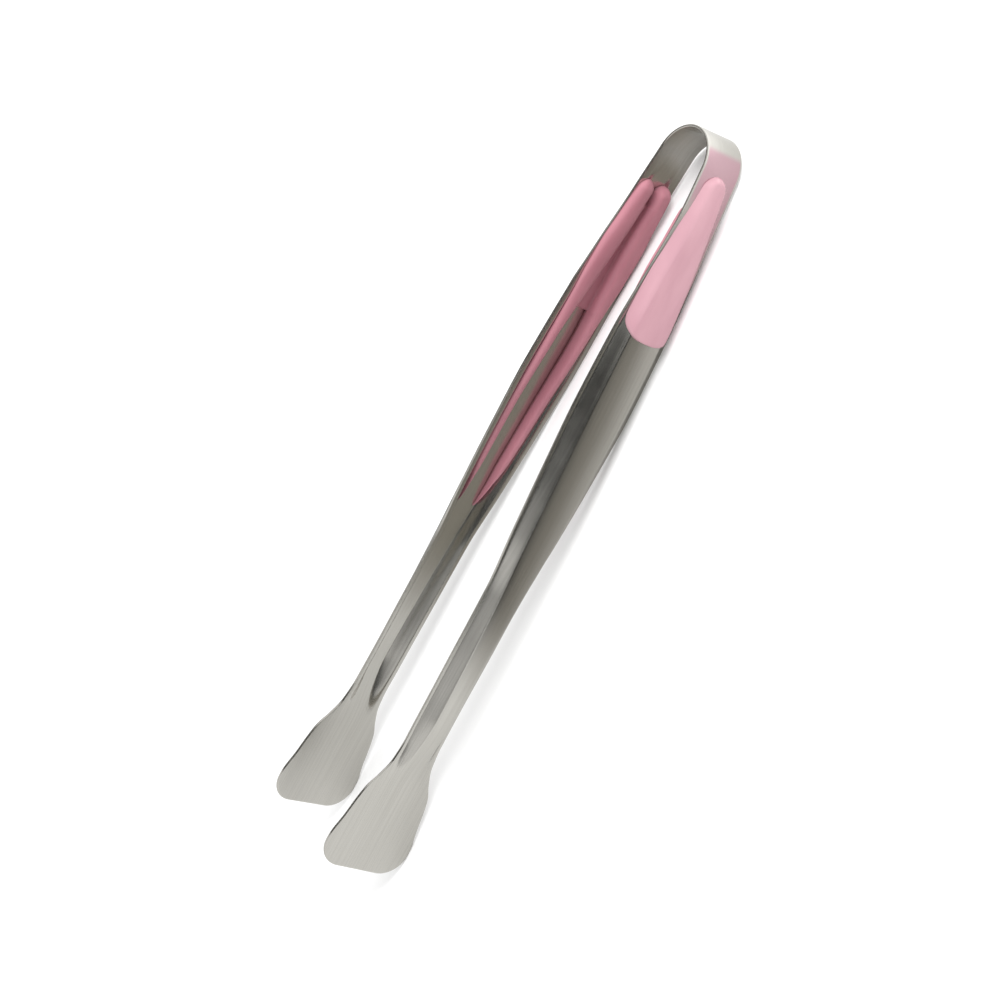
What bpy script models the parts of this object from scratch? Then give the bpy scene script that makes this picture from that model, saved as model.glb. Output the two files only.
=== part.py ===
"""Spring loaded kitchen tongs.

One stainless strip is bent into a U: a springy bow, two channel-pressed arms and two spade paddles.
Each arm carries a rose plastic tongue on its outside and a ridged insert in its channel.

Frame: metres, +Z across the strip (up when the tongs lie on their long edges), +X towards the bow,
Y is the direction in which the tongs open, with the near arm at -Y and the far arm at +Y.
The origin is the centre of the bounding box's bottom face.

Along an arm, "reach" is the distance from the bow's crown towards the tips, measured along X.
Across an arm, "offset" is the distance from the strip's middle line, positive upwards.
"Rise" is the height of a surface above the strip's flange, positive away from the other arm.
"""
import math

import bmesh
import bpy
import numpy as np
from mathutils import Vector

MM = 0.001

# Driving dimensions, in millimetres.
LENGTH = 240.0             # over the whole strip
GAUGE = 0.86               # thickness of the steel strip
BOW_RADIUS = 10.5          # of the strip's middle surface in the bow
BOW_SPAN_DEG = 84.0        # the bow node covers this much of each quarter turn
FLEX_SHARE = 0.36          # the arms turn about a point this share of the radius behind the bow's crown
LEAN_DEG = 3.0             # the upper edges lean in, because the bow is bent slightly conical
JOINT_GAP = 0.3            # clearance between pieces that touch on the real tongs

# Middle surface's distance from the centre plane, against reach.
HALF_GAP = [(10.93, 10.5), (24, 12.0), (38, 12.85), (60, 13.7), (91, 15.0), (125, 16.0), (158, 16.6),
            (187, 16.9), (204, 17.4), (214, 17.7), (240, 17.8)]
# Half of the strip's width, against reach. The tip corners are rounded by TIP_CORNER.
BOW_HALF_WIDTH = 6.7
PADDLE_HALF_WIDTH = 15.0
HALF_WIDTH = [(0, BOW_HALF_WIDTH), (12, 6.8), (24, 7.05), (41, 8.4), (60, 9.8), (82, 10.15), (103, 9.4),
              (125, 8.2), (144, 6.8), (163, 6.75), (182, 6.6), (195, 6.6), (202, 7.2), (208, 9.3),
              (212, 11.3), (216, 12.3), (223, 13.5), (231, PADDLE_HALF_WIDTH), (240, PADDLE_HALF_WIDTH)]
TIP_CORNER = 7.8

# The pressed channel: its crown stands above the flanges, against reach, and is slightly domed.
CHANNEL_START = 10.93      # reach where the pressing starts
CHANNEL_ARCH = 4.5         # length of its rounded start, seen from outside
CHANNEL_RAMP = 3.4         # length over which it comes up to its height there
CHANNEL_RISE = [(10.93, 0.9), (18, 1.0), (24, 1.2), (38, 1.7), (46, 2.1), (60, 2.8), (80, 3.25), (95, 3.4),
                (240, 3.4)]
CHANNEL_DOME = 0.4
CHANNEL_END = (199.0, 212.0)   # reach over which it runs out into the paddle
NECK_REACH = 30.0          # the arm's shape changes quickly before this
# The channel's wall runs from its foot on the flange to its shoulder, as shares of the half width.
FOOT = [(10.93, 0.64), (18, 0.7), (24, 0.78), (33, 0.86), (240, 0.86)]
SHOULDER = [(10.93, 0.3), (24, 0.36), (38, 0.5), (60, 0.56), (240, 0.56)]

# Outer grip: a tongue that wraps the channel's crown.
TONGUE_START = 12.2
TONGUE_END = 60.6
TONGUE_HALF_WIDTH = [(12.2, 3.7), (16, 4.3), (22, 5.3), (27, 6.2), (33, 6.9), (41, 7.9), (47, 8.2),
                     (60.6, 8.3)]
TONGUE_THICKNESS = 0.8     # on the crown
TONGUE_EDGE = 0.3          # along its rim
TONGUE_TOP_ROUND = 5.0     # length of the rounded top
TONGUE_END_ROUND = 8.0     # length of the rounded lower end
TONGUE_TIP_HALF_WIDTH = 0.6    # at the first and last station of those curves

# Inner grip: two ridges joined by a web, then two prongs.
INSERT_START = 20.0        # the ridges' rounded tops
INSERT_TOP_ROUND = 3.0     # length of each rounded top
INSERT_TOP_SHARE = 0.2     # of a ridge's width, left at its very top
WEB_START = 27.0
WEB_END = 62.9
PRONG_END = 131.5
INSERT_HALF_WIDTH = [(20, 6.0), (26, 6.8), (32, 7.3), (42, 8.2), (50, 8.3), (60, 7.8), (80, 7.3), (96, 6.9),
                     (109, 6.3), (116, 5.8), (124, 4.6), (131.5, 3.4)]
SLOT_HALF_WIDTH = [(20, 0.8), (32, 0.8), (46, 1.4), (62.9, 2.7), (72, 3.4), (80, 3.5), (96, 3.3), (116, 3.0),
                   (131.5, 2.8)]
# How far the ridges' crests stand in from the flange, against reach.
RIDGE_CREST = [(20, 2.7), (24, 3.0), (32, 2.9), (42, 2.6), (50, 2.2), (62, 1.8), (78, 1.4), (96, 0.3),
               (116, -0.1), (124, -0.8), (131.5, -1.3)]
# How far the web lies behind the flange, towards the channel's floor.
WEB_SINK = [(WEB_START, 0.3), (45, 1.0), (WEB_END, 2.0)]
INSERT_EDGE = 0.3          # thickness left at the insert's edges

STEEL = {"colour": (0.62, 0.61, 0.58), "metallic": 1.0, "roughness": 0.28}
GLOSSY_ROSE = {"colour": (0.66, 0.30, 0.38), "metallic": 0.0, "roughness": 0.18}
SATIN_ROSE = {"colour": (0.48, 0.15, 0.21), "metallic": 0.0, "roughness": 0.42}

INSERT_COLUMNS_PER_RIDGE = 8

HALF_SHARES = (0.16, 0.32, 0.46, 0.56, 0.66, 0.75, 0.82, 0.88, 0.94, 1.0)
ARM_SHARES = tuple(-share for share in reversed(HALF_SHARES)) + (0.0,) + HALF_SHARES
LEAN = math.radians(LEAN_DEG)
HALF_HEIGHT = PADDLE_HALF_WIDTH * math.cos(LEAN) + GAUGE / 2 * math.sin(LEAN)
CROWN_X = LENGTH / 2 - BOW_HALF_WIDTH * math.sin(LEAN)
TIP_REACH = CROWN_X + LENGTH / 2


def profile(points):
    """Return a smooth function through (position, value) points that never overshoots them."""
    x = np.array([p[0] for p in points], float)
    y = np.array([p[1] for p in points], float)
    step = np.diff(x)
    slope = np.diff(y) / step
    tangent = np.zeros(len(x))
    tangent[0] = slope[0]
    tangent[-1] = slope[-1]
    for i in range(1, len(x) - 1):
        if slope[i - 1] * slope[i] > 0:
            before = 2 * step[i] + step[i - 1]
            after = step[i] + 2 * step[i - 1]
            tangent[i] = (before + after) / (before / slope[i - 1] + after / slope[i])

    def value(at):
        at = min(max(at, x[0]), x[-1])
        i = min(int(np.searchsorted(x, at, side="right")) - 1, len(step) - 1)
        t = (at - x[i]) / step[i]
        return float((2 * t**3 - 3 * t**2 + 1) * y[i] + (t**3 - 2 * t**2 + t) * step[i] * tangent[i]
                     + (3 * t**2 - 2 * t**3) * y[i + 1] + (t**3 - t**2) * step[i] * tangent[i + 1])

    return value


half_gap = profile(HALF_GAP)
half_width_side = profile(HALF_WIDTH)
crown_rise = profile(CHANNEL_RISE)
foot_share = profile(FOOT)
shoulder_share = profile(SHOULDER)
tongue_side = profile(TONGUE_HALF_WIDTH)
insert_half_width = profile(INSERT_HALF_WIDTH)
slot_half_width = profile(SLOT_HALF_WIDTH)
ridge_crest = profile(RIDGE_CREST)
web_sink = profile(WEB_SINK)


def ease(t):
    """Smooth step from 0 to 1."""
    t = min(max(t, 0.0), 1.0)
    return t * t * (3 - 2 * t)


def quarter_round(t, power):
    """Rise of a rounded corner from 0 at t = 0 to 1 at t = 1; power 2 is a quarter circle."""
    t = min(max(t, 0.0), 1.0)
    return (1 - (1 - t) ** power) ** (1 / power)


def half_width(reach):
    """Half width of the strip, with the paddle's corners rounded."""
    corner = quarter_round((TIP_REACH - reach) / TIP_CORNER, 2)
    return half_width_side(reach) - TIP_CORNER * (1 - corner)


def channel_rise(reach, offset):
    """Height of the pressed channel's middle surface above the flange."""
    along = ease((reach - CHANNEL_START) / CHANNEL_RAMP)
    along *= 1 - ease((reach - CHANNEL_END[0]) / (CHANNEL_END[1] - CHANNEL_END[0]))
    if along <= 0:
        return 0.0
    arch = quarter_round((reach - CHANNEL_START) / CHANNEL_ARCH, 2)
    share = abs(offset) / half_width_side(reach) / arch
    foot = foot_share(reach)
    wall = ease((foot - share) / (foot - shoulder_share(reach)))
    dome = CHANNEL_DOME * max(1 - (share / foot) ** 2, 0.0)
    return along * (crown_rise(reach) * wall + dome)


def outside_rise(reach, offset, distance):
    """Rise of the surface that stays the distance away from the sheet's middle on its outside."""
    tries = [distance * math.sin(math.radians(angle)) for angle in range(-90, 91, 10)]
    return max(channel_rise(reach, offset + step) + math.sqrt(distance**2 - step**2) for step in tries)


def inside_rise(reach, offset, distance):
    """Rise of the surface that stays the distance away from the sheet's middle on its inside."""
    tries = [distance * math.sin(math.radians(angle)) for angle in range(-90, 91, 10)]
    return min(channel_rise(reach, offset + step) - math.sqrt(distance**2 - step**2) for step in tries)


def arm_point(side, reach, offset, rise):
    """Point in metres on the arm at side -1 (near) or +1 (far)."""
    slope = (half_gap(reach + 0.1) - half_gap(reach - 0.1)) / 0.2
    size = math.hypot(1, slope)
    outward = Vector((slope / size, side / size, 0))
    up = Vector((0, 0, 1))
    base = Vector((CROWN_X - reach, side * half_gap(reach), HALF_HEIGHT))
    point = (base + (up * math.cos(LEAN) - outward * math.sin(LEAN)) * offset
             + (outward * math.cos(LEAN) + up * math.sin(LEAN)) * rise)
    return point * MM


def bow_point(angle, offset):
    """Point in metres on the bow's middle surface, at an angle from the crown (positive to +Y)."""
    outward = Vector((math.cos(angle), math.sin(angle), 0))
    up = Vector((0, 0, 1))
    centre = Vector((CROWN_X - GAUGE / 2 - BOW_RADIUS, 0, HALF_HEIGHT))
    return (centre + outward * BOW_RADIUS + (up * math.cos(LEAN) - outward * math.sin(LEAN)) * offset) * MM


def material(name, finish):
    """Principled material with one colour."""
    made = bpy.data.materials.new(name)
    made.use_nodes = True
    shader = made.node_tree.nodes["Principled BSDF"]
    shader.inputs["Base Color"].default_value = (*finish["colour"], 1)
    shader.inputs["Metallic"].default_value = finish["metallic"]
    shader.inputs["Roughness"].default_value = finish["roughness"]
    return made


def add_object(name, mesh, collection, finish, pivot):
    """Put a mesh in the collection with its origin at the pivot."""
    for vertex in mesh.vertices:
        vertex.co -= pivot
    thing = bpy.data.objects.new(name, mesh)
    thing.location = pivot
    thing.data.materials.append(material(name, finish))
    mesh.shade_smooth()
    mesh.set_sharp_from_angle(angle=math.radians(35))
    collection.objects.link(thing)
    return thing


def sheet(name, rows, columns, place):
    """Open surface: a grid whose vertex at (row, column) goes to place(row, column)."""
    grid = bmesh.new()
    bmesh.ops.create_grid(grid, x_segments=rows - 1, y_segments=columns - 1, size=0.5)
    for vertex in grid.verts:
        row = round((vertex.co.x + 0.5) * (rows - 1))
        column = round((vertex.co.y + 0.5) * (columns - 1))
        vertex.co = place(row, column)
    mesh = bpy.data.meshes.new(name)
    grid.to_mesh(mesh)
    grid.free()
    return mesh


def thicken(thing, thickness, offset):
    """Give an open surface its thickness."""
    solidify = thing.modifiers.new("thickness", "SOLIDIFY")
    solidify.thickness = thickness * MM
    solidify.offset = offset
    solidify.use_even_offset = True


def slab(name, rows, columns, inner, outer, filled):
    """Closed solid between two grids of points, present in the cells where filled(row, column) is true."""
    mesh = bmesh.new()
    skins = []
    for place in (inner, outer):
        skins.append([[place(row, column) for column in range(columns)] for row in range(rows)])
    cells = {(r, c) for r in range(rows - 1) for c in range(columns - 1) if filled(r, c)}
    used = {}

    def vertex(skin, row, column):
        key = (skin, row, column)
        if key not in used:
            used[key] = mesh.verts.new(skins[skin][row][column])
        return used[key]

    for r, c in cells:
        corners = [(r, c), (r + 1, c), (r + 1, c + 1), (r, c + 1)]
        mesh.faces.new([vertex(0, *corner) for corner in corners])
        mesh.faces.new([vertex(1, *corner) for corner in reversed(corners)])
        neighbours = [(r, c - 1), (r + 1, c), (r, c + 1), (r - 1, c)]
        for side, neighbour in enumerate(neighbours):
            if neighbour not in cells:
                first = corners[side]
                second = corners[(side + 1) % 4]
                mesh.faces.new([vertex(0, *second), vertex(0, *first), vertex(1, *first), vertex(1, *second)])
    bmesh.ops.recalc_face_normals(mesh, faces=mesh.faces)
    made = bpy.data.meshes.new(name)
    mesh.to_mesh(made)
    mesh.free()
    return made


def between(low, high, count):
    """Evenly spaced stations from low up to, but not including, high."""
    return [low + (high - low) * i / count for i in range(count)]


def arm_reaches():
    """Stations along an arm, close together where its shape changes quickly."""
    start = CROWN_X - bow_point(math.radians(BOW_SPAN_DEG), 0).x / MM + JOINT_GAP
    corner = TIP_REACH - TIP_CORNER
    reaches = between(start, NECK_REACH, 14)
    reaches += between(NECK_REACH, CHANNEL_END[0] - 9, 20)
    reaches += between(CHANNEL_END[0] - 9, corner, 16)
    reaches += [corner + TIP_CORNER * math.sin(math.radians(a)) for a in (0, 15, 30, 44, 57, 69, 79, 90)]
    return reaches


def make_arm(name, side, collection, pivot):
    """Channel arm with its paddle."""
    reaches = arm_reaches()

    def place(row, column):
        offset = ARM_SHARES[column] * half_width(reaches[row])
        return arm_point(side, reaches[row], offset, channel_rise(reaches[row], offset))

    arm = add_object(name, sheet(name, len(reaches), len(ARM_SHARES), place), collection, STEEL, pivot)
    thicken(arm, GAUGE, 0)
    return arm


def make_bow(collection, pivot):
    """The U-bend between the arms."""
    span = math.radians(BOW_SPAN_DEG)
    rows = 25
    columns = 5

    def place(row, column):
        angle = span * (2 * row / (rows - 1) - 1)
        reach = CROWN_X - bow_point(angle, 0).x / MM
        return bow_point(angle, half_width(reach) * (2 * column / (columns - 1) - 1))

    bow = add_object("spring_bow", sheet("spring_bow", rows, columns, place), collection, STEEL, pivot)
    thicken(bow, GAUGE, 0)
    return bow


def tongue_half_width(reach):
    """Half width of the outer grip, rounded at both ends."""
    top = quarter_round((reach - TONGUE_START) / TONGUE_TOP_ROUND, 2)
    end = quarter_round((TONGUE_END - reach) / TONGUE_END_ROUND, 3)
    return max(tongue_side(reach) * top * end, TONGUE_TIP_HALF_WIDTH)


def make_outer_grip(name, side, collection, pivot):
    """Glossy tongue over the channel's crown."""
    top = [TONGUE_START + TONGUE_TOP_ROUND * (1 - math.cos(math.radians(a))) for a in (3, 16, 30, 45, 60, 75)]
    end = [TONGUE_END - TONGUE_END_ROUND * (1 - math.sin(math.radians(a)))
           for a in (0, 15, 30, 45, 57, 67, 75, 82, 89)]
    reaches = top + between(TONGUE_START + TONGUE_TOP_ROUND, end[0], 9) + end
    shares = (-1.0, -0.84, -0.68, -0.5, -0.25, 0.0, 0.25, 0.5, 0.68, 0.84, 1.0)

    def skin(thickness, edge_thickness):
        def place(row, column):
            reach = reaches[row]
            share = shares[column]
            offset = share * tongue_half_width(reach)
            body = thickness + (edge_thickness - thickness) * share**4
            return arm_point(side, reach, offset, outside_rise(reach, offset, GAUGE / 2 + JOINT_GAP + body))
        return place

    mesh = slab(name, len(reaches), len(shares), skin(0, 0), skin(TONGUE_THICKNESS, TONGUE_EDGE),
                lambda row, column: True)
    return add_object(name, mesh, collection, GLOSSY_ROSE, pivot)


def top_share(reach):
    """How far along its rounded top a ridge is at this reach, from 0 to 1."""
    return min((reach - INSERT_START) / INSERT_TOP_ROUND, 1.0)


def ridge_edges(reach):
    """Offsets of a ridge's edge at the slot and of its outer edge."""
    slot = slot_half_width(reach)
    edge = insert_half_width(reach)
    middle = (slot + edge) / 2
    half = (edge - slot) / 2 * max(quarter_round(top_share(reach), 2), INSERT_TOP_SHARE)
    return middle - half, middle + half


def insert_offset(reach, column):
    """Offset of a column of the insert: ridge, slot edge, middle, slot edge, ridge."""
    place = column - INSERT_COLUMNS_PER_RIDGE - 1
    if place == 0:
        return 0.0
    slot, edge = ridge_edges(reach)
    across = (abs(place) - 1) / INSERT_COLUMNS_PER_RIDGE
    spread = 0.5 - 0.5 * math.cos(math.pi * across)
    return math.copysign(slot + (edge - slot) * spread, place)


def seat_rise(reach, offset):
    """Rise of the insert's hidden side, which follows the channel's inside."""
    return inside_rise(reach, offset, GAUGE / 2 + JOINT_GAP)


def insert_rise(reach, offset):
    """Rise of the insert's free side: the web's level with a rounded ridge on each side."""
    slot, edge = ridge_edges(reach)
    seat = seat_rise(reach, offset) - INSERT_EDGE
    web = min(web_sink(reach), seat)
    if abs(offset) <= slot:
        return web
    along = (2 * abs(offset) - slot - edge) / (edge - slot)
    bump = max(1 - abs(along) ** 3, 0.0) ** (1 / 3)
    crest = -ridge_crest(reach) * (INSERT_TOP_SHARE + (1 - INSERT_TOP_SHARE) * top_share(reach))
    has_web = along < 0 and WEB_START < reach <= WEB_END
    foot = web if has_web else max(seat_rise(reach, slot if along < 0 else edge) - INSERT_EDGE, crest)
    return min(foot + (crest - foot) * bump, seat)


def make_inner_grip(name, side, collection, pivot):
    """Ridged insert in the channel: a web between two ridges, then two prongs."""
    top = [INSERT_START + INSERT_TOP_ROUND * (1 - math.cos(math.radians(a))) for a in (0, 22, 40, 56, 73, 90)]
    web = between(WEB_START, WEB_END, 9) + [WEB_END]
    prongs = between(WEB_END, PRONG_END, 13)[1:] + [PRONG_END]
    reaches = top + web + prongs
    columns = 2 * (INSERT_COLUMNS_PER_RIDGE + 1) + 1

    def free_side(row, column):
        offset = insert_offset(reaches[row], column)
        return arm_point(side, reaches[row], offset, insert_rise(reaches[row], offset))

    def hidden_side(row, column):
        offset = insert_offset(reaches[row], column)
        return arm_point(side, reaches[row], offset, seat_rise(reaches[row], offset))

    def filled(row, column):
        in_slot = INSERT_COLUMNS_PER_RIDGE <= column <= INSERT_COLUMNS_PER_RIDGE + 1
        return not in_slot or len(top) <= row < len(top) + len(web) - 1

    mesh = slab(name, len(reaches), columns, free_side, hidden_side, filled)
    return add_object(name, mesh, collection, SATIN_ROSE, pivot)


def main():
    """Build the tongs."""
    for old in list(bpy.data.objects):
        bpy.data.objects.remove(old, do_unlink=True)
    collection = bpy.data.collections.new("kitchen_tongs")
    bpy.context.scene.collection.children.link(collection)
    flex_centre = Vector((CROWN_X - GAUGE / 2 - FLEX_SHARE * BOW_RADIUS, 0, HALF_HEIGHT)) * MM
    make_bow(collection, flex_centre)
    for label, side in (("near", -1), ("far", 1)):
        make_arm(label + "_arm", side, collection, flex_centre)
        make_outer_grip(label + "_outer_grip", side, collection, flex_centre)
        make_inner_grip(label + "_inner_grip", side, collection, flex_centre)


main()
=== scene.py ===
"""Looks of a pair of spring loaded kitchen tongs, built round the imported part.

One stainless strip is bent into a U: a springy bow, two channel-pressed arms and two spade paddles.
Each arm carries a glossy rose tongue on its outside and a ridged satin insert in its channel.

Frame: metres, +Z across the strip, +X towards the bow, the near arm at -Y and the far arm at +Y.
Shapes are worked out in millimetres. "Reach" is the distance from the bow's crown towards the
tips, "offset" is the distance up the strip from its middle line, and "rise" is the height above
the strip's flange, positive away from the other arm.
"""

import logging
import math
from dataclasses import dataclass, field, replace
from enum import Enum
from typing import Sequence

import bmesh
import bpy
import numpy as np
from mathutils import Matrix, Vector


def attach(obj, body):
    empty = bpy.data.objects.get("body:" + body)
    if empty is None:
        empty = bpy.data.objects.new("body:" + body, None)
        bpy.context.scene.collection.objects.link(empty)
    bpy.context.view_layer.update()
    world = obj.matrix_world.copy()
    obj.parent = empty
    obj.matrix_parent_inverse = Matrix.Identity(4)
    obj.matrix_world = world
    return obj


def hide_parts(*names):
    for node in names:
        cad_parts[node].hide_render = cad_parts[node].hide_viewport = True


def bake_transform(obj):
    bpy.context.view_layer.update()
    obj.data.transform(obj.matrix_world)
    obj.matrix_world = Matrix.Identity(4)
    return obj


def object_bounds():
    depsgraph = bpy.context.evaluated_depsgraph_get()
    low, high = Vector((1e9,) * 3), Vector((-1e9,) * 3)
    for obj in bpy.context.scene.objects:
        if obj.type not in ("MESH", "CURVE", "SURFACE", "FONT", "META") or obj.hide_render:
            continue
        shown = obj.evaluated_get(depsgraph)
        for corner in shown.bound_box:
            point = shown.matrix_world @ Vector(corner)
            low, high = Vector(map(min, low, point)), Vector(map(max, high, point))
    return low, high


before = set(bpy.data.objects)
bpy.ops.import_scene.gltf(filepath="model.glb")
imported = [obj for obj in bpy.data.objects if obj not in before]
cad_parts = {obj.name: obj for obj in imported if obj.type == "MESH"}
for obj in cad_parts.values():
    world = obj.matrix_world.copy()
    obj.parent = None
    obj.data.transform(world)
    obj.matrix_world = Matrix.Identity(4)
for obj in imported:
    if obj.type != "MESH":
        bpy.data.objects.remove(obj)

MM = 0.001
CAD_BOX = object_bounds()
LOG = logging.getLogger("tongs")

Array = np.ndarray
Points = Sequence[tuple[float, float]]
Colour = tuple[float, float, float]
Stretch = tuple[float, float, float]
Place = tuple[float, float, float]
Span = tuple[float, float]
Skin = tuple[Array, Array]
Plan = tuple[Array, Array]


class Side(Enum):
    """The two arms: each has a sign along Y, a name and the body that it rides on."""

    NEAR = -1
    FAR = 1

    @property
    def label(self) -> str:
        """Word that starts the names of this side's pieces."""
        return self.name.lower()

    @property
    def body(self) -> str:
        """Name of the CAD body on this side."""
        return self.label + "_side"


class Profile:
    """Smooth function through (position, value) points that never overshoots them."""

    def __init__(self, points: Points) -> None:
        """Work out a tangent for each point.

        Args:
            points: positions, rising, with the value at each.
        """
        self.x = np.array([p[0] for p in points], float)
        self.y = np.array([p[1] for p in points], float)
        self.step = np.diff(self.x)
        slope = np.diff(self.y) / self.step
        self.tangent = np.concatenate([slope[:1], np.zeros(len(slope) - 1), slope[-1:]])
        for i in range(1, len(slope)):
            if slope[i - 1] * slope[i] > 0:
                before = 2 * self.step[i] + self.step[i - 1]
                after = self.step[i] + 2 * self.step[i - 1]
                self.tangent[i] = (before + after) / (before / slope[i - 1] + after / slope[i])

    def __call__(self, at: Array | float) -> Array:
        """Value at each position.

        Args:
            at: positions; outside the points, the nearest one's value holds.

        Returns:
            The values, in the same shape.
        """
        at = np.clip(at, self.x[0], self.x[-1])
        i = np.clip(np.searchsorted(self.x, at, side="right") - 1, 0, len(self.step) - 1)
        t = (at - self.x[i]) / self.step[i]
        return ((2 * t**3 - 3 * t**2 + 1) * self.y[i] + (3 * t**2 - 2 * t**3) * self.y[i + 1]
                + ((t**3 - 2 * t**2 + t) * self.tangent[i] + (t**3 - t**2) * self.tangent[i + 1])
                * self.step[i])


def ease(t: Array | float) -> Array:
    """Smooth step from 0 to 1."""
    t = np.clip(t, 0.0, 1.0)
    return t * t * (3 - 2 * t)


def quarter_round(t: Array | float, power: float = 2.0) -> Array:
    """Rise of a rounded corner from 0 at t = 0 to 1 at t = 1; power 2 is a quarter circle."""
    return (1 - (1 - np.clip(t, 0.0, 1.0)) ** power) ** (1 / power)


def stations(*stretches: tuple[float, float, float]) -> Array:
    """Positions along a piece, closer together where its shape changes quickly.

    Args:
        stretches: each from, to and the largest step between positions.

    Returns:
        Rising positions without repeats.
    """
    parts = [np.linspace(low, high, max(math.ceil((high - low) / step), 1) + 1)
             for low, high, step in stretches]
    return np.unique(np.round(np.concatenate(parts), 6))


def rounded_steps(low: float, high: float, count: int, at_high: bool) -> Array:
    """Positions from low to high that crowd towards one end, as round a corner.

    Args:
        low: first position.
        high: last position.
        count: how many positions.
        at_high: whether they crowd towards the last one.

    Returns:
        The positions, rising.
    """
    turn = np.linspace(0, math.pi / 2, count)
    share = np.sin(turn) if at_high else 1 - np.cos(turn)
    return low + (high - low) * share


@dataclass(frozen=True)
class StripShape:
    """Sizes of the steel strip, in millimetres, and the surfaces that follow from them."""

    gauge: float = 0.86
    bow_radius: float = 10.5
    bow_span: float = math.radians(84)
    lean: float = math.radians(3)
    bow_half_width: float = 6.7
    paddle_half_width: float = 15.0
    tip_corner: float = 7.8
    half_gaps: Points = ((24, 12.0), (38, 12.85), (60, 13.7), (91, 15.0), (125, 16.0), (158, 16.6),
                         (187, 16.9), (204, 17.4), (214, 17.7), (240, 17.8))
    half_widths: Points = ((0, 6.7), (12, 6.8), (24, 7.05), (41, 8.4), (60, 9.8), (82, 10.15),
                           (103, 9.4), (125, 8.2), (144, 6.8), (163, 6.75), (182, 6.6),
                           (195, 6.6), (202, 7.2), (208, 9.3), (212, 11.3), (216, 12.3),
                           (223, 13.5), (231, 15.0), (240, 15.0))
    channel_start: float = 10.93
    channel_arch: float = 4.5
    channel_ramp: float = 14.0
    channel_rises: Points = ((10.93, 0.9), (18, 1.0), (24, 1.2), (38, 1.7), (46, 2.1), (60, 2.8),
                             (80, 3.25), (95, 3.4), (240, 3.4))
    channel_dome: float = 0.4
    channel_end: Span = (186.0, 211.0)
    feet: Points = ((10.93, 0.64), (18, 0.7), (24, 0.78), (33, 0.86), (240, 0.86))
    shoulders: Points = ((10.93, 0.3), (24, 0.36), (38, 0.5), (60, 0.56), (135, 0.54), (160, 0.42),
                         (190, 0.34), (240, 0.34))
    sweep_step: int = 6
    slope_step: float = 0.1

    @property
    def bow_end(self) -> Span:
        """Reach and half gap where the bow's round part ends."""
        return (self.gauge / 2 + self.bow_radius * (1 - math.cos(self.bow_span)),
                self.bow_radius * math.sin(self.bow_span))

    @property
    def crown_x(self) -> float:
        """X of the strip's outer face at the bow's crown, on its middle line."""
        return CAD_BOX[1].x / MM - self.bow_half_width * math.sin(self.lean)

    @property
    def tip_reach(self) -> float:
        """Reach of the paddles' tips."""
        return self.crown_x - CAD_BOX[0].x / MM

    @property
    def middle_height(self) -> float:
        """Height of the strip's middle line above the box's bottom."""
        return (CAD_BOX[0].z + CAD_BOX[1].z) / 2 / MM

    def half_gap(self, reach: Array) -> Array:
        """Distance of the strip's middle surface from the centre plane."""
        return Profile((self.bow_end, *self.half_gaps))(reach)

    def half_width(self, reach: Array) -> Array:
        """Half width of the strip, with the paddle's corners rounded."""
        corner = quarter_round((self.tip_reach - reach) / self.tip_corner)
        return Profile(self.half_widths)(reach) - self.tip_corner * (1 - corner)

    def rim_distance(self, reach: Array, offset: Array) -> Array:
        """Distance in from the strip's outline, exact round the paddle's corners.

        Args:
            reach: reach of each point.
            offset: offset of each point.

        Returns:
            The distances, never below zero.
        """
        corner_reach = self.tip_reach - self.tip_corner
        corner_offset = self.paddle_half_width - self.tip_corner
        straight = np.minimum(self.half_width(reach) - np.abs(offset), self.tip_reach - reach)
        from_centre = np.hypot(reach - corner_reach, np.abs(offset) - corner_offset)
        round_corner = self.tip_corner - from_centre
        in_corner = (reach > corner_reach) & (np.abs(offset) > corner_offset)
        return np.maximum(np.where(in_corner, round_corner, straight), 0.0)

    def channel_rise(self, reach: Array, offset: Array) -> Array:
        """Height of the pressed channel's middle surface above the flange.

        Args:
            reach: reach of each point.
            offset: offset of each point.

        Returns:
            The heights.
        """
        along = ease((reach - self.channel_start) / self.channel_ramp)
        first, last = self.channel_end
        along = along * (1 - ease((reach - first) / (last - first)))
        arch = np.maximum(quarter_round((reach - self.channel_start) / self.channel_arch), 1e-3)
        share = np.abs(offset) / Profile(self.half_widths)(reach) / arch
        foot = Profile(self.feet)(reach)
        wall = ease((foot - share) / (foot - Profile(self.shoulders)(reach)))
        dome = self.channel_dome * np.maximum(1 - (share / foot) ** 2, 0.0)
        return along * (Profile(self.channel_rises)(reach) * wall + dome)

    def face_rise(self, reach: Array, offset: Array, distance: Array | float,
                  outside: bool) -> Array:
        """Rise of the surface that stays a distance away from the sheet's middle.

        Args:
            reach: reach of each point.
            offset: offset of each point.
            distance: the distance to keep.
            outside: whether it is the face that looks away from the other arm.

        Returns:
            The rise at each point.
        """
        sign = 1 if outside else -1
        best = None
        for angle in np.radians(np.arange(-90, 91, self.sweep_step)):
            level = sign * self.channel_rise(reach, offset + distance * math.sin(angle))
            level = level + distance * math.cos(angle)
            best = level if best is None else np.maximum(best, level)
        return sign * best

    def arm_plan(self, side: Side, reach: Array) -> Plan:
        """Points on the arm's middle line and the directions that face away from the other arm.

        Args:
            side: which arm.
            reach: reach of each row.

        Returns:
            The rows' middle points and outward directions.
        """
        step = self.slope_step
        slope = (self.half_gap(reach + step) - self.half_gap(reach - step)) / (2 * step)
        size = np.hypot(1, slope)
        outward = np.stack([slope / size, side.value / size, 0 * reach], -1)
        base = np.stack([self.crown_x - reach, side.value * self.half_gap(reach),
                         self.middle_height + 0 * reach], -1)
        return base, outward

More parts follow.
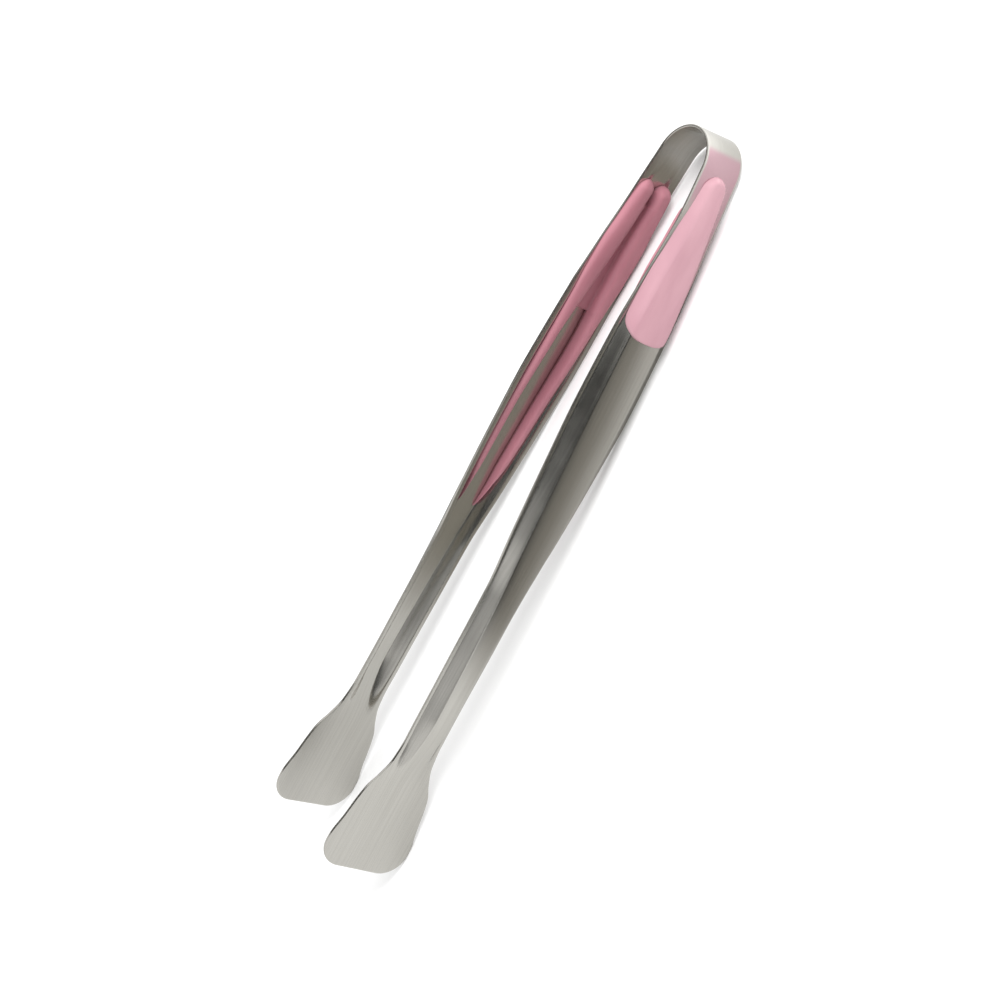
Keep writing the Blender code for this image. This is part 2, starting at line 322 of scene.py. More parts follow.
    def bow_plan(self, angle: Array) -> Plan:
        """Points on the bow's middle line and its outward directions, at angles from the crown.

        Args:
            angle: angle of each row from the bow's crown, in radians.

        Returns:
            The rows' middle points and outward directions.
        """
        outward = np.stack([np.cos(angle), np.sin(angle), 0 * angle], -1)
        centre = np.array([self.crown_x - self.gauge / 2 - self.bow_radius, 0, self.middle_height])
        return centre + outward * self.bow_radius, outward

    def place(self, plan: Plan, offset: Array, rise: Array) -> Array:
        """Points in metres, on rows of a plan, at offsets and rises.

        Args:
            plan: middle line and outward directions, one for each row.
            offset: offsets, one row of them for each row of the plan.
            rise: rises, in the same shape.

        Returns:
            Points, with X, Y and Z last.
        """
        base, outward = (part[:, None, :] for part in plan)
        up = np.array([0, 0, 1.0])
        across = up * math.cos(self.lean) - outward * math.sin(self.lean)
        away = outward * math.cos(self.lean) + up * math.sin(self.lean)
        return (base + across * offset[..., None] + away * rise[..., None]) * MM

    def on_arm(self, side: Side, reach: Array, offset: Array, rise: Array) -> Array:
        """Points in metres on an arm, one row for each reach."""
        return self.place(self.arm_plan(side, reach), offset, rise)


def closed_shell(name: str, outer: Array, inner: Array, filled: Array | None = None,
                 marks: dict[str, Skin] | None = None) -> bpy.types.Object:
    """Closed solid between two grids of points, joined along the border of the filled cells.

    Args:
        name: name of the piece.
        outer: rows by columns of points on the free side.
        inner: the same on the hidden side; points that meet the free side are welded to it.
        filled: which cells are there; all of them if it is left out.
        marks: for each attribute, its values on the free side and on the hidden side.

    Returns:
        The piece, smooth shaded.
    """
    rows, columns = outer.shape[:2]
    filled = np.ones((rows - 1, columns - 1), bool) if filled is None else filled
    index = np.arange(rows * columns).reshape(rows, columns)
    r, c = np.nonzero(filled)
    ring = np.stack([index[r, c], index[r + 1, c], index[r + 1, c + 1], index[r, c + 1]], 1)
    faces = [ring, ring[:, ::-1] + rows * columns]
    padded = np.pad(filled, 1)
    for side, (down, right) in enumerate(((0, -1), (1, 0), (0, 1), (-1, 0))):
        open_side = ~padded[r + 1 + down, c + 1 + right]
        first, second = ring[open_side, side], ring[open_side, (side + 1) % 4]
        faces.append(np.stack([second, first, first + rows * columns, second + rows * columns], 1))
    points = np.concatenate([outer.reshape(-1, 3), inner.reshape(-1, 3)])
    _, kept, place = np.unique(np.round(points / 1e-7).astype(np.int64), axis=0, return_index=True,
                               return_inverse=True)
    corners = place.reshape(-1)[np.concatenate(faces)].tolist()
    polygons = [list(dict.fromkeys(face)) for face in corners]
    mesh = bpy.data.meshes.new(name)
    mesh.from_pydata(points[kept].tolist(), [], [p for p in polygons if len(p) > 2])
    for mark, (free, hidden) in (marks or {}).items():
        both = [skin.reshape(rows * columns, -1) for skin in (free, hidden)]
        values = np.concatenate(both)[kept]
        kind, key = ("FLOAT_VECTOR", "vector") if values.shape[1] == 3 else ("FLOAT", "value")
        attribute = mesh.attributes.new(mark, kind, "POINT")
        attribute.data.foreach_set(key, values.astype(np.float32).ravel())
    piece = bpy.data.objects.new(name, mesh)
    bpy.context.scene.collection.objects.link(piece)
    tidy_mesh(mesh)
    return piece


def tidy_mesh(mesh: bpy.types.Mesh) -> None:
    """Drop loose points, turn every face outwards and shade smooth.

    Args:
        mesh: the mesh to tidy, in place.
    """
    shell = bmesh.new()
    shell.from_mesh(mesh)
    loose = [vertex for vertex in shell.verts if not vertex.link_faces]
    bmesh.ops.delete(shell, geom=loose, context="VERTS")
    bmesh.ops.recalc_face_normals(shell, faces=shell.faces)
    shell.to_mesh(mesh)
    shell.free()
    mesh.shade_smooth()


class NodeSheet:
    """The node tree of a material or a world, with short calls for the nodes that are used."""

    def __init__(self, owner: bpy.types.Material | bpy.types.World,
                 shader: str = "Principled BSDF") -> None:
        """Start a node tree.

        Args:
            owner: the new material or world.
            shader: name of the shader that it starts with.
        """
        self.owner = owner
        self.owner.use_nodes = True
        self.tree = self.owner.node_tree
        self.shader = self.tree.nodes[shader]

    def add(self, kind: str, inputs: dict[str | int, object], **settings: object) -> bpy.types.Node:
        """Add a node.

        Args:
            kind: the node's type, without its ShaderNode prefix.
            inputs: for each input socket, a value or another node's output socket.
            settings: the node's own properties.

        Returns:
            The node.
        """
        node = self.tree.nodes.new("ShaderNode" + kind)
        for key, value in settings.items():
            setattr(node, key, value)
        for key, value in inputs.items():
            self.feed(node.inputs[key], value)
        return node

    def feed(self, socket: bpy.types.NodeSocket, value: object) -> None:
        """Link another node's output to a socket, or set the socket's own value.

        Args:
            socket: the input socket to fill.
            value: a number, a colour or another node's output socket.
        """
        if isinstance(value, bpy.types.NodeSocket):
            self.tree.links.new(value, socket)
        else:
            socket.default_value = value

    def mark(self, name: str) -> bpy.types.Node:
        """Read an attribute that the mesh carries."""
        return self.add("Attribute", {}, attribute_name=name)

    def stretched(self, vector: object, scale: tuple[float, float, float]) -> bpy.types.NodeSocket:
        """Scale a vector along each axis."""
        return self.add("VectorMath", {0: vector, 1: scale}, operation="MULTIPLY").outputs[0]

    def noise(self, vector: object, scale: float, detail: float = 3.0) -> bpy.types.NodeSocket:
        """Even noise between 0 and 1."""
        return self.add("TexNoise", {"Vector": vector, "Scale": scale, "Detail": detail}).outputs[0]

    def ramp(self, value: object, low: float, high: float, to_low: float = 0.0,
             to_high: float = 1.0) -> bpy.types.NodeSocket:
        """Carry a value from one range to another, smoothly and without leaving it.

        Args:
            value: the value to carry over.
            low: where the first range starts.
            high: where the first range ends.
            to_low: result at the start.
            to_high: result at the end.

        Returns:
            The result.
        """
        inputs = {"Value": value, "From Min": low, "From Max": high,
                  "To Min": to_low, "To Max": to_high}
        return self.add("MapRange", inputs, interpolation_type="SMOOTHSTEP").outputs[0]

    def combine(self, operation: str, first: object, second: object) -> bpy.types.NodeSocket:
        """Combine two numbers."""
        return self.add("Math", {0: first, 1: second}, operation=operation).outputs[0]

    def mix(self, share: object, first: object, second: object) -> bpy.types.NodeSocket:
        """Mix two colours.

        Args:
            share: share of the second colour.
            first: the first colour.
            second: the second colour.

        Returns:
            The mixed colour.
        """
        node = self.add("Mix", {}, data_type="RGBA")
        for place, value in ((0, share), (6, first), (7, second)):
            self.feed(node.inputs[place], (*value, 1) if isinstance(value, tuple) else value)
        return node.outputs[2]

    def bump(self, height: object, distance: float, strength: object) -> bpy.types.NodeSocket:
        """Turn a height into a normal."""
        inputs = {"Height": height, "Distance": distance, "Strength": strength}
        return self.add("Bump", inputs).outputs[0]

    def finish(self, links: dict[str, object], values: dict[str, object]) -> bpy.types.ID:
        """Fill in the shader.

        Args:
            links: sockets that nodes drive.
            values: sockets with one value all over.

        Returns:
            The material or world.
        """
        for key, value in (*links.items(), *values.items()):
            self.feed(self.shader.inputs[key], value)
        return self.owner


@dataclass(frozen=True)
class BrushedSteel:
    """Finish of the strip: satin stainless brushed lengthwise, with rose washed over the necks."""

    pale: Colour = (0.64, 0.625, 0.59)
    dull: Colour = (0.58, 0.565, 0.53)
    rose: Colour = (0.60, 0.395, 0.445)
    smooth: float = 0.19
    rough: float = 0.24
    brush_height: float = 1.5e-7
    brush_strength: float = 0.25
    rubbed_rim: Colour = (0.66, 0.64, 0.60)
    rubbed_width: float = 0.6
    bare_rim: Span = (0.35, 0.8)
    line_stretch: Stretch = (0.03, 3.0, 1.0)
    band_stretch: Stretch = (0.02, 2.2, 1.0)
    cloud_stretch: Stretch = (0.12, 0.16, 1.0)

    def make(self) -> bpy.types.Material:
        """Build the material.

        Returns:
            The material.
        """
        sheet = NodeSheet(bpy.data.materials.new("brushed_steel"))
        grain = sheet.mark("grain").outputs["Vector"]
        rim = sheet.mark("rim").outputs["Fac"]
        lines = sheet.noise(sheet.stretched(grain, self.line_stretch), 1.0, 2.0)
        bands = sheet.noise(sheet.stretched(grain, self.band_stretch), 1.0, 2.0)
        clouds = sheet.noise(sheet.stretched(grain, self.cloud_stretch), 1.0, 3.0)
        cover = sheet.combine("MULTIPLY", sheet.ramp(rim, *self.bare_rim),
                              sheet.ramp(clouds, 0.2, 0.8, 0.94, 1.0))
        wash = sheet.combine("MULTIPLY", sheet.mark("rose_wash").outputs["Fac"], cover)
        streaks = sheet.ramp(sheet.combine("ADD", lines, bands), 0.75, 1.25)
        steel = sheet.mix(streaks, self.pale, self.dull)
        rubbed = sheet.ramp(rim, 0.0, self.rubbed_width, 0.6, 0.0)
        worn = sheet.mix(rubbed, steel, self.rubbed_rim)
        wear = sheet.ramp(sheet.combine("ADD", lines, clouds), 0.7, 1.3, self.smooth, self.rough)
        strength = sheet.ramp(wash, 0.0, 1.0, self.brush_strength, 0.0)
        return sheet.finish({"Base Color": sheet.mix(wash, worn, self.rose), "Roughness": wear,
                             "Normal": sheet.bump(lines, self.brush_height, strength)},
                            {"Metallic": 1.0})


@dataclass(frozen=True)
class MouldedPlastic:
    """Finish of the grips: moulded plastic with faint flow clouds, fine grain and rubbed spots."""

    name: str
    body: Colour
    shade: Colour
    smooth: float
    rough: float
    coat: float
    grain_height: float
    flow_stretch: Stretch = (0.05, 0.18, 1.0)
    rub_stretch: Stretch = (0.3, 1.6, 1.0)
    pore_scale: float = 3.5
    pore_strength: float = 0.4
    coat_rough: float = 0.08

    def make(self) -> bpy.types.Material:
        """Build the material.

        Returns:
            The material.
        """
        sheet = NodeSheet(bpy.data.materials.new(self.name))
        grain = sheet.mark("grain").outputs["Vector"]
        clouds = sheet.noise(sheet.stretched(grain, self.flow_stretch), 1.0, 3.0)
        pores = sheet.noise(grain, self.pore_scale, 4.0)
        rubbed = sheet.noise(sheet.stretched(grain, self.rub_stretch), 1.0, 4.0)
        return sheet.finish(
            {"Base Color": sheet.mix(sheet.ramp(clouds, 0.3, 0.7), self.body, self.shade),
             "Roughness": sheet.ramp(rubbed, 0.3, 0.75, self.smooth, self.rough),
             "Normal": sheet.bump(pores, self.grain_height, self.pore_strength)},
            {"Metallic": 0.0, "Coat Weight": self.coat, "Coat Roughness": self.coat_rough})


GLOSSY_ROSE = MouldedPlastic("glossy_rose", body=(0.49, 0.275, 0.315), shade=(0.45, 0.245, 0.285),
                             smooth=0.16, rough=0.26, coat=0.4, grain_height=3e-6)
SATIN_ROSE = MouldedPlastic("satin_rose", body=(0.46, 0.195, 0.235), shade=(0.42, 0.17, 0.21),
                            smooth=0.34, rough=0.48, coat=0.0, grain_height=8e-6)


@dataclass
class SteelStrip:
    """The whole strip in one piece, bent round the bow, with rounded edges."""

    shape: StripShape
    edge_round: float = 0.3
    edge_power: float = 2.6
    wash_reach: Span = (3.2, 5.0)
    wash_fade: Span = (16.0, 24.0)
    lower_from: float = 1.0
    lower_blend: float = 2.0
    lower_longer: float = 30.0
    lower_softer: float = 6.0
    blend_half_gap: float = 9.5
    bow_step: float = 0.6
    columns: int = 61
    face_mark: float = 9.0
    finish: BrushedSteel = field(default_factory=BrushedSteel)

    def edge_steps(self) -> Array:
        """Distances in from an edge where its rounding is sampled."""
        return self.edge_round * (1 - np.cos(np.linspace(0, math.pi / 2, 6)))

    def arm_reaches(self) -> Array:
        """Reaches of an arm's rows.

        Returns:
            The reaches, rising.
        """
        tip = self.shape.tip_reach
        corner = tip - self.shape.tip_corner
        plain = stations((self.shape.bow_end[0], 20.0, 0.35), (20.0, 40.0, 0.7), (40.0, 196.0, 1.2),
                         (196.0, 216.0, 0.6), (216.0, corner, 0.9))
        turned = rounded_steps(corner, tip - self.edge_round, 20, True)
        return np.unique(np.round(np.concatenate([plain, turned, tip - self.edge_steps()]), 6))

    def rows(self) -> tuple[Array, Plan, Array]:
        """Rows from the near tip, round the bow, to the far tip.

        Returns:
            The rows' reaches, their plan, and their distance along the strip from the bow's crown.
        """
        shape = self.shape
        reaches = self.arm_reaches()
        count = int(2 * shape.bow_span * shape.bow_radius / self.bow_step)
        angle = np.linspace(-shape.bow_span, shape.bow_span, count)[1:-1]
        plans = [shape.arm_plan(Side.NEAR, reaches[::-1]), shape.bow_plan(angle),
                 shape.arm_plan(Side.FAR, reaches)]
        bow_reach = shape.gauge / 2 + shape.bow_radius * (1 - np.cos(angle))
        arc = shape.bow_span * shape.bow_radius - shape.bow_end[0]
        return (np.concatenate([reaches[::-1], bow_reach, reaches]),
                (np.concatenate([p[0] for p in plans]), np.concatenate([p[1] for p in plans])),
                np.concatenate([-arc - reaches[::-1], angle * shape.bow_radius, arc + reaches]))

    def wash(self, reach: Array, offset: Array) -> Array:
        """How much of the neck's rose lies on the outer face at each point.

        Args:
            reach: reach of each point.
            offset: offset of each point.

        Returns:
            Shares between 0 and 1.
        """
        start = ease((reach - self.wash_reach[0]) / (self.wash_reach[1] - self.wash_reach[0]))
        lower = ease((-offset - self.lower_from) / self.lower_blend)
        fade_from = self.wash_fade[0] + self.lower_longer * lower
        fade_over = self.wash_fade[1] - self.wash_fade[0] + self.lower_softer * lower
        return start * (1 - ease((reach - fade_from) / fade_over))

    def build(self) -> bpy.types.Object:
        """Build the strip as one closed mesh.

        Returns:
            The piece.
        """
        shape = self.shape
        reach, plan, along = self.rows()
        edge = self.edge_steps()
        half = shape.half_width(reach)[:, None]
        middle = np.linspace(-1, 1, self.columns)[1:-1] * (half - self.edge_round)
        offset = np.concatenate([edge - half, middle, (half - edge)[:, ::-1]], 1)
        reach = np.broadcast_to(reach[:, None], offset.shape)
        rim = shape.rim_distance(reach, offset)
        thickness = shape.gauge / 2 * quarter_round(rim / self.edge_round, self.edge_power)
        skins = [shape.place(plan, offset, shape.face_rise(reach, offset, thickness, outside))
                 for outside in (True, False)]
        grains = [np.stack([along[:, None] + 0 * offset, offset, 0 * offset + face], -1)
                  for face in (self.face_mark, -self.face_mark)]
        wash = self.wash(reach, offset)
        piece = closed_shell("steel_strip", skins[0], skins[1], marks={
            "grain": tuple(grains), "rim": (rim, rim), "rose_wash": (wash, 0 * wash)})
        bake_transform(piece)
        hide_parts("spring_bow", "near_arm", "far_arm")
        return piece

    def dress(self, piece: bpy.types.Object) -> None:
        """Give the strip its finish."""
        piece.data.materials.append(self.finish.make())


@dataclass
class OuterGrip:
    """Glossy tongue that wraps the channel's crown."""

    shape: StripShape
    side: Side
    start: float = 10.2
    end: float = 60.6
    nose_start: float = 9.4
    nose_ramp: float = 2.8
    half_widths: Points = ((10.2, 3.6), (14, 4.1), (22, 5.3), (27, 6.2), (33, 6.9), (41, 7.9),
                           (47, 8.2), (60.6, 8.3))
    thickness: float = 1.1
    edge_thicknesses: Points = ((10.2, 0.1), (30, 0.2), (50, 0.4), (60.6, 0.55))
    edge_rounds: Points = ((10.2, 1.6), (40, 1.0), (52, 0.5), (60.6, 0.4))
    top_round: float = 4.5
    end_round: float = 8.0
    clearance: float = 0.03

    def half_width(self, reach: Array) -> Array:
        """Half width of the tongue, rounded at both ends.

        Args:
            reach: reach of each row.

        Returns:
            The half widths.
        """
        top = quarter_round((reach - self.start) / self.top_round)
        end = quarter_round((self.end - reach) / self.end_round, 3)
        return Profile(self.half_widths)(reach) * top * end

    def rim_distance(self, reach: Array, offset: Array) -> Array:
        """Distance in from the tongue's outline.

        Args:
            reach: reach of each point.
            offset: offset of each point.

        Returns:
            The distances, never below zero.
        """
        step = 0.02
        slope = (self.half_width(reach + step) - self.half_width(reach - step)) / (2 * step)
        across = (self.half_width(reach) - np.abs(offset)) / np.hypot(1, slope)
        return np.maximum(np.minimum(across, np.minimum(reach - self.start, self.end - reach)), 0.0)

    def build(self) -> bpy.types.Object:
        """Build the tongue as one closed mesh.

        Returns:
            The piece.
        """
        reach = np.unique(np.round(np.concatenate([
            rounded_steps(self.start, self.start + self.top_round, 18, False),
            stations((self.start + self.top_round, self.end - self.end_round, 0.7)),
            rounded_steps(self.end - self.end_round, self.end, 26, True)]), 6))
        reach[0] += 0.01
        reach[-1] -= 0.01
        share = np.sin(np.linspace(-math.pi / 2, math.pi / 2, 61))
        offset = self.half_width(reach)[:, None] * share
        reach2 = np.broadcast_to(reach[:, None], offset.shape)
        rim = self.rim_distance(reach2, offset)
        edge = Profile(self.edge_thicknesses)(reach)[:, None]
        body = self.thickness + (edge - self.thickness) * share**4
        edge_round = Profile(self.edge_rounds)(reach)[:, None]
        seat = self.shape.gauge / 2 + self.clearance
        nose = replace(self.shape, channel_start=self.nose_start, channel_ramp=self.nose_ramp)
        hidden = self.shape.face_rise(reach2, offset, seat, True)
        free = np.maximum(nose.face_rise(reach2, offset, seat + body, True), hidden)
        free = hidden + (free - hidden) * quarter_round(rim / edge_round, 2.2)
        skins = [self.shape.on_arm(self.side, reach, offset, level) for level in (free, hidden)]
        grains = [np.stack([reach2, offset, 0 * offset + 20 * self.side.value + face], -1)
                  for face in (3, -3)]
        piece = closed_shell(f"{self.side.label}_tongue", skins[0], skins[1], marks={
            "grain": tuple(grains)})
        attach(piece, self.side.body)
        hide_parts(f"{self.side.label}_outer_grip")
        return piece

    def dress(self, piece: bpy.types.Object, material: bpy.types.Material) -> None:
        """Give the tongue its finish."""
        piece.data.materials.append(material)


@dataclass
class InnerGrip:
    """Ridged insert in the channel: a web between two ridges, then two prongs."""

    shape: StripShape
    side: Side
    start: float = 20.0
    top_round: float = 3.0
    web_start: float = 27.0
    web_end: float = 62.9
    end: float = 131.5
    end_taper: float = 15.0
    half_widths: Points = ((20, 6.0), (26, 6.8), (32, 7.3), (42, 8.2), (50, 8.3), (60, 7.8),
                           (80, 7.3), (96, 6.9), (109, 6.3), (116, 5.8), (124, 4.6), (131.5, 3.4))
    slot_half_widths: Points = ((20, 0.8), (32, 0.8), (46, 1.4), (62.9, 2.7), (72, 3.4),
                                (80, 3.5), (96, 3.3), (116, 3.0), (131.5, 2.8))
    slot_spread: float = 1.2
    crests: Points = ((20, 2.7), (24, 3.0), (32, 2.9), (42, 2.6), (50, 2.2), (62, 1.8),
                      (78, 1.4), (96, 0.3), (116, -0.1), (124, -0.8), (131.5, -1.3))
    web_round: float = 0.6
    web_sinks: Points = ((27.0, 0.3), (45, 1.0), (62.9, 2.0))
    ridge_power: float = 2.7
    clearance: float = 0.03

    def seat(self, reach: Array, offset: Array) -> Array:
        """Rise of the hidden side, which lies on the channel's inside."""
        return self.shape.face_rise(reach, offset, self.shape.gauge / 2 + self.clearance, False)

    def build(self) -> bpy.types.Object:
        """Build the insert as one closed mesh.

        Returns:
            The piece.
        """
        reach = np.unique(np.round(np.concatenate([
            rounded_steps(self.start, self.start + self.top_round, 16, False),
            stations((self.start + self.top_round, self.web_start, 0.5),
                     (self.web_start, self.web_start + 1.0, 0.2),
                     (self.web_start + 1.0, self.web_end - 1.0, 0.8),
                     (self.web_end - 1.0, self.web_end, 0.1),
                     (self.web_end, self.end - 4.0, 0.9), (self.end - 4.0, self.end, 0.3))]), 6))
        reach[0] += 0.02
        reach[-1] -= 0.02
        top = quarter_round((reach - self.start) / self.top_round)[:, None]
        taper = np.clip((self.end - reach) / self.end_taper, 0, 1)[:, None]
        slot = self.slot_spread * Profile(self.slot_half_widths)(reach)[:, None]
        edge = Profile(self.half_widths)(reach)[:, None]
        across = -np.cos(np.linspace(0, math.pi, 25))[None, :]
        ridge = (slot + edge) / 2 + (edge - slot) / 2 * top * (1 - (1 - taper) ** 1.4) * across
        web = slot * np.linspace(-1, 1, 9)[None, 1:-1]
        offset = np.concatenate([-ridge[:, ::-1], web, ridge], 1)
        reach2 = np.broadcast_to(reach[:, None], offset.shape)
        seat = self.seat(reach2, offset)

        in_web = (reach >= self.web_start) & (reach <= self.web_end)
        run = np.minimum(reach - self.web_start, self.web_end - reach)
        web_level = Profile(self.web_sinks)(reach)[:, None]
        web_share = (quarter_round(run / self.web_round) * in_web)[:, None]
        count = across.shape[1]
        ridge_seat = seat[:, -count:]
        middle_seat = seat[:, count:-count]
        web_rise = middle_seat + (np.minimum(web_level, middle_seat) - middle_seat) * web_share
        crest = -Profile(self.crests)(reach)[:, None]
        bump = np.maximum(1 - np.abs(across) ** self.ridge_power, 0) ** (1 / self.ridge_power)
        slot_foot = ridge_seat + (np.minimum(web_level, ridge_seat) - ridge_seat) * web_share
        foot = np.where(across < 0, slot_foot, np.maximum(ridge_seat, crest))
        fullness = bump * top * np.sqrt(1 - (1 - taper) ** 3)
        ridge_rise = np.minimum(foot + (crest - foot) * fullness, ridge_seat)
        rise = np.concatenate([ridge_rise[:, ::-1], web_rise, ridge_rise], 1)

        filled = np.ones((len(reach) - 1, offset.shape[1] - 1), bool)
        rows_without_web = ~(in_web[:-1] & in_web[1:])
        filled[rows_without_web, count - 1:-(count - 1)] = False
        skins = [self.shape.on_arm(self.side, reach, offset, level) for level in (rise, seat)]
        grains = [np.stack([reach2, offset, 0 * offset + 40 * self.side.value + face], -1)
                  for face in (3, -3)]
        piece = closed_shell(f"{self.side.label}_insert", skins[0], skins[1], filled=filled, marks={
            "grain": tuple(grains)})
        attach(piece, self.side.body)
        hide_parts(f"{self.side.label}_inner_grip")
        return piece

    def dress(self, piece: bpy.types.Object, material: bpy.types.Material) -> None:
        """Give the insert its finish."""
        piece.data.materials.append(material)


@dataclass(frozen=True)
class PaleFloor:
    """Finish of the floor: plain white, with painted shade and painted light in bands that only
    reflections in the steel see.
    """

    pale: Colour = (0.90, 0.90, 0.90)
    paler: Colour = (0.92, 0.92, 0.92)
    cloud_scale: float = 30.0
    # Tones that only glossy rays see: painted light by the tips and past the bow, painted shade
    # between and beside the arms, darker further off and near black far off.
    painted_light_by_tips: Colour = (0.64, 0.64, 0.63)
    painted_light_past_bow: Colour = (0.98, 0.98, 0.97)
    painted_shade_between_arms: Colour = (0.235, 0.225, 0.195)
    painted_shade_beside_arms: Colour = (0.46, 0.455, 0.44)
    painted_shade_further_off: Colour = (0.185, 0.176, 0.158)
    painted_dark_far_off: Colour = (0.02, 0.02, 0.019)
    rough: float = 0.9
    specular: float = 0.1

    def mirrored(self, sheet: NodeSheet, place: object) -> bpy.types.NodeSocket:
        """Painted shade and painted light that a mirror shows at each place on the floor, in place
        of the floor's own white.

        Args:
            sheet: the floor's node tree.
            place: places on the floor, in metres.

        Returns:
            The colour.
        """
        axis = sheet.add("SeparateXYZ", {0: place}).outputs
        along, beside = axis["X"], sheet.combine("ABSOLUTE", axis["Y"], 0.0)
        # Painted light towards the tips and past the bow, painted shade over the middle stretch,
        # darker the further off to the side.
        middle = sheet.combine("MULTIPLY", sheet.ramp(along, -0.070, -0.030),
                               sheet.ramp(along, 0.125, 0.075))
        close = sheet.mix(sheet.ramp(beside, 0.020, 0.038), self.painted_shade_beside_arms, self.painted_shade_further_off)
        tunnel = sheet.mix(sheet.ramp(beside, 0.041, 0.056), close, self.painted_dark_far_off)
        ends = sheet.mix(sheet.ramp(along, 0.125, 0.14), self.painted_light_by_tips, self.painted_light_past_bow)
        # Painted shade on the floor between the arms, where the inner faces of the steel look.
        between = sheet.combine("MULTIPLY", sheet.ramp(along, -0.065, -0.025),
                                sheet.ramp(along, 0.112, 0.098))
        inside = sheet.combine("MULTIPLY", between, sheet.ramp(beside, 0.016, 0.010))
        return sheet.mix(inside, sheet.mix(middle, ends, tunnel), self.painted_shade_between_arms)

    def make(self) -> bpy.types.Material:
        """Build the material.

        Returns:
            The material.
        """
        sheet = NodeSheet(bpy.data.materials.new("pale_floor"))
        place = sheet.add("TexCoord", {}).outputs["Object"]
        white = sheet.mix(sheet.noise(place, self.cloud_scale), self.pale, self.paler)
        # Glossy rays see the painted shade and light instead of the white floor.
        seen = sheet.add("LightPath", {}).outputs["Is Glossy Ray"]
        return sheet.finish({"Base Color": sheet.mix(seen, white, self.mirrored(sheet, place))},
                            {"Roughness": self.rough, "Specular IOR Level": self.specular})


@dataclass(frozen=True)
class WhiteDome:
    """Sky of the studio: white, with a dim strip of ceiling for the steel to mirror."""

    white: Colour = (1.0, 1.0, 1.0)
    sides: Colour = (0.78, 0.78, 0.77)
    behind: Colour = (0.13, 0.13, 0.12)
    ahead: Colour = (0.02, 0.02, 0.019)

    def make(self) -> bpy.types.World:
        """Build the world.

        Returns:
            The world.
        """
        sheet = NodeSheet(bpy.data.worlds.new("studio_dome"), "Background")
        direction = sheet.add("TexCoord", {}).outputs["Generated"]
        axis = sheet.add("SeparateXYZ", {0: direction}).outputs
        strip = sheet.combine("MULTIPLY", sheet.ramp(axis["X"], -0.31, -0.21),
                              sheet.ramp(axis["X"], 0.12, 0.0))
        in_front = sheet.combine("MULTIPLY", sheet.ramp(axis["Y"], 0.35, 0.1),
                                 sheet.ramp(axis["Z"], -0.15, 0.0))
        dim = sheet.mix(sheet.combine("MULTIPLY", strip, in_front),
                        sheet.mix(strip, self.sides, self.behind), self.ahead)
        mirrored = sheet.add("LightPath", {}).outputs["Is Glossy Ray"]
        world = sheet.finish({"Color": sheet.mix(mirrored, self.white, dim)}, {"Strength": 1.0})
        world.cycles.sampling_method = "NONE"
        return world


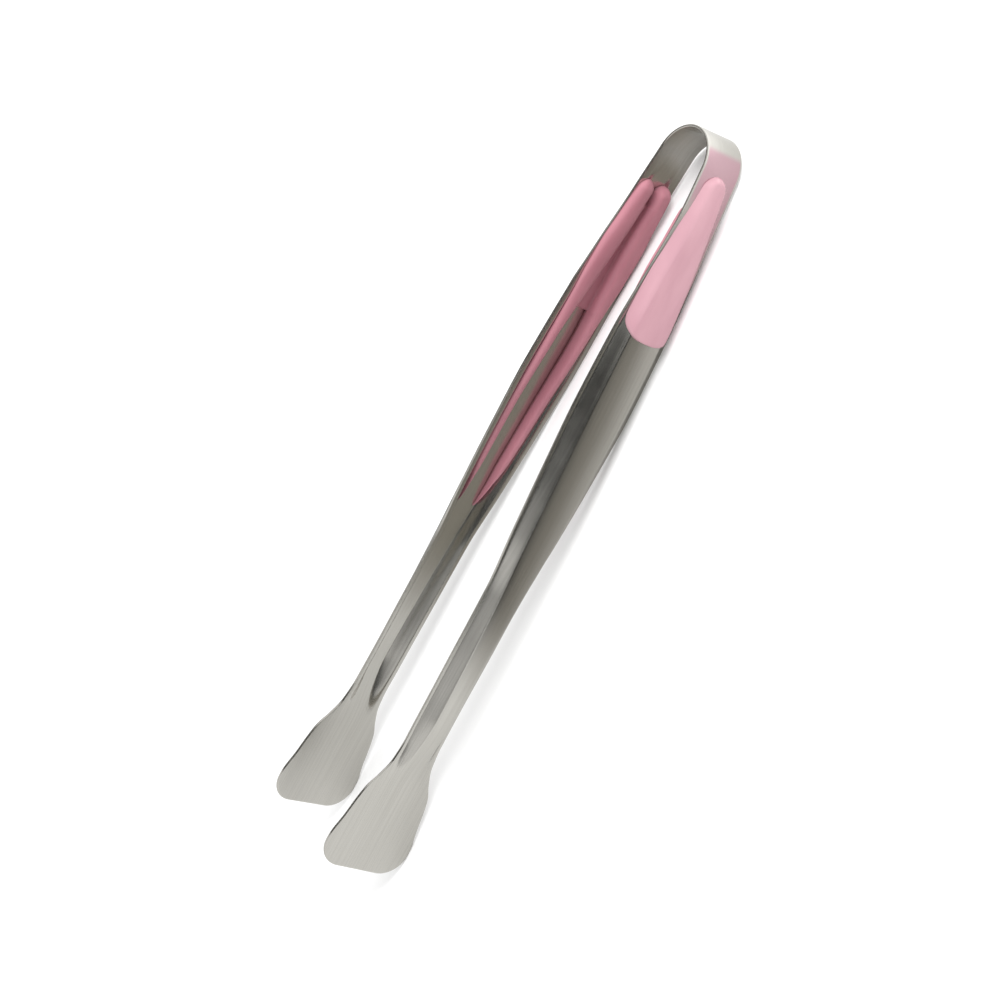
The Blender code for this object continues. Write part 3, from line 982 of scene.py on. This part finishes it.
@dataclass
class Studio:
    """Pale floor, white dome, a softbox past the bow's end and the camera."""

    shape: StripShape
    floor_half_size: float = 1.5
    contact_reach: Span = (82.0, 231.0)
    floor_gap: float = 0.00005
    box_place: Place = (0.60, -0.18, 0.62)
    box_size: Span = (0.5, 0.5)
    box_power: float = 7.0
    eye: Place = (0.117860, -0.437676, 0.389179)
    azimuth: float = 0.267376
    elevation: float = 0.683411
    roll: float = 1.241608
    lens: float = 72.0
    sensor: float = 36.0
    clip_start: float = 0.01

    def place_floor(self) -> None:
        """Lay the floor under the strip's lowest points, the arms' belly and the paddles."""
        reach = np.array(self.contact_reach)
        half_height = self.shape.half_width(reach) * math.cos(self.shape.lean)
        low = (self.shape.middle_height - half_height) * MM
        x = (self.shape.crown_x - reach) * MM
        slope = (low[0] - low[1]) / (x[0] - x[1])
        grid = bmesh.new()
        bmesh.ops.create_grid(grid, x_segments=8, y_segments=8, size=self.floor_half_size)
        for vertex in grid.verts:
            vertex.co.z = low[1] + slope * (vertex.co.x - x[1]) - self.floor_gap
        mesh = bpy.data.meshes.new("floor")
        grid.to_mesh(mesh)
        grid.free()
        mesh.materials.append(PaleFloor().make())
        floor = bpy.data.objects.new("floor", mesh)
        bpy.context.scene.collection.objects.link(floor)

    def light(self) -> None:
        """Hang the dome and the softbox."""
        bpy.context.scene.world = WhiteDome().make()
        self.softbox("end_softbox", self.box_place, self.box_size, self.box_power)

    def softbox(self, name: str, place: Place, size: Span, power: float) -> None:
        """Add a soft rectangular light that faces the tongs.

        Args:
            name: name of the light.
            place: its middle, in metres.
            size: its width and height, in metres.
            power: its power, in watts.
        """
        box = bpy.data.lights.new(name, "AREA")
        box.shape = "RECTANGLE"
        box.size, box.size_y = size
        box.energy = power
        lamp = bpy.data.objects.new(name, box)
        lamp.visible_glossy = False
        lamp.location = place
        lamp.rotation_euler = (-Vector(place)).to_track_quat("-Z", "Y").to_euler()
        bpy.context.scene.collection.objects.link(lamp)

    def place_camera(self) -> None:
        """Put the camera at its place and turn it about its line of sight."""
        az, el, roll = self.azimuth, self.elevation, self.roll
        back = Vector((math.sin(az) * math.cos(el), -math.cos(az) * math.cos(el), math.sin(el)))
        right = Vector((math.cos(az), math.sin(az), 0))
        up = back.cross(right)
        view_right = right * math.cos(roll) - up * math.sin(roll)
        view_up = right * math.sin(roll) + up * math.cos(roll)
        matrix = Matrix((view_right, view_up, back)).transposed().to_4x4()
        matrix.translation = Vector(self.eye)
        data = bpy.data.cameras.new("camera")
        data.lens, data.sensor_width = self.lens, self.sensor
        data.clip_start = self.clip_start
        camera = bpy.data.objects.new("camera", data)
        camera.matrix_world = matrix
        bpy.context.scene.collection.objects.link(camera)
        bpy.context.scene.camera = camera

    def build(self) -> None:
        """Set up the whole studio."""
        bpy.context.scene.view_settings.view_transform = "Standard"
        self.place_floor()
        self.light()
        self.place_camera()


def main() -> None:
    """Build every piece in order, dress it, and set up the studio."""
    logging.basicConfig(level=logging.INFO, format="%(name)s: %(message)s")
    shape = StripShape()
    strip = SteelStrip(shape)
    steel = strip.build()
    strip.dress(steel)
    LOG.info("%s: %d faces", steel.name, len(steel.data.polygons))
    for maker, finish in ((OuterGrip, GLOSSY_ROSE), (InnerGrip, SATIN_ROSE)):
        material = finish.make()
        for side in Side:
            grip = maker(shape, side)
            piece = grip.build()
            grip.dress(piece, material)
            LOG.info("%s: %d faces", piece.name, len(piece.data.polygons))
    Studio(shape).build()


if __name__ == "__main__":
    main()
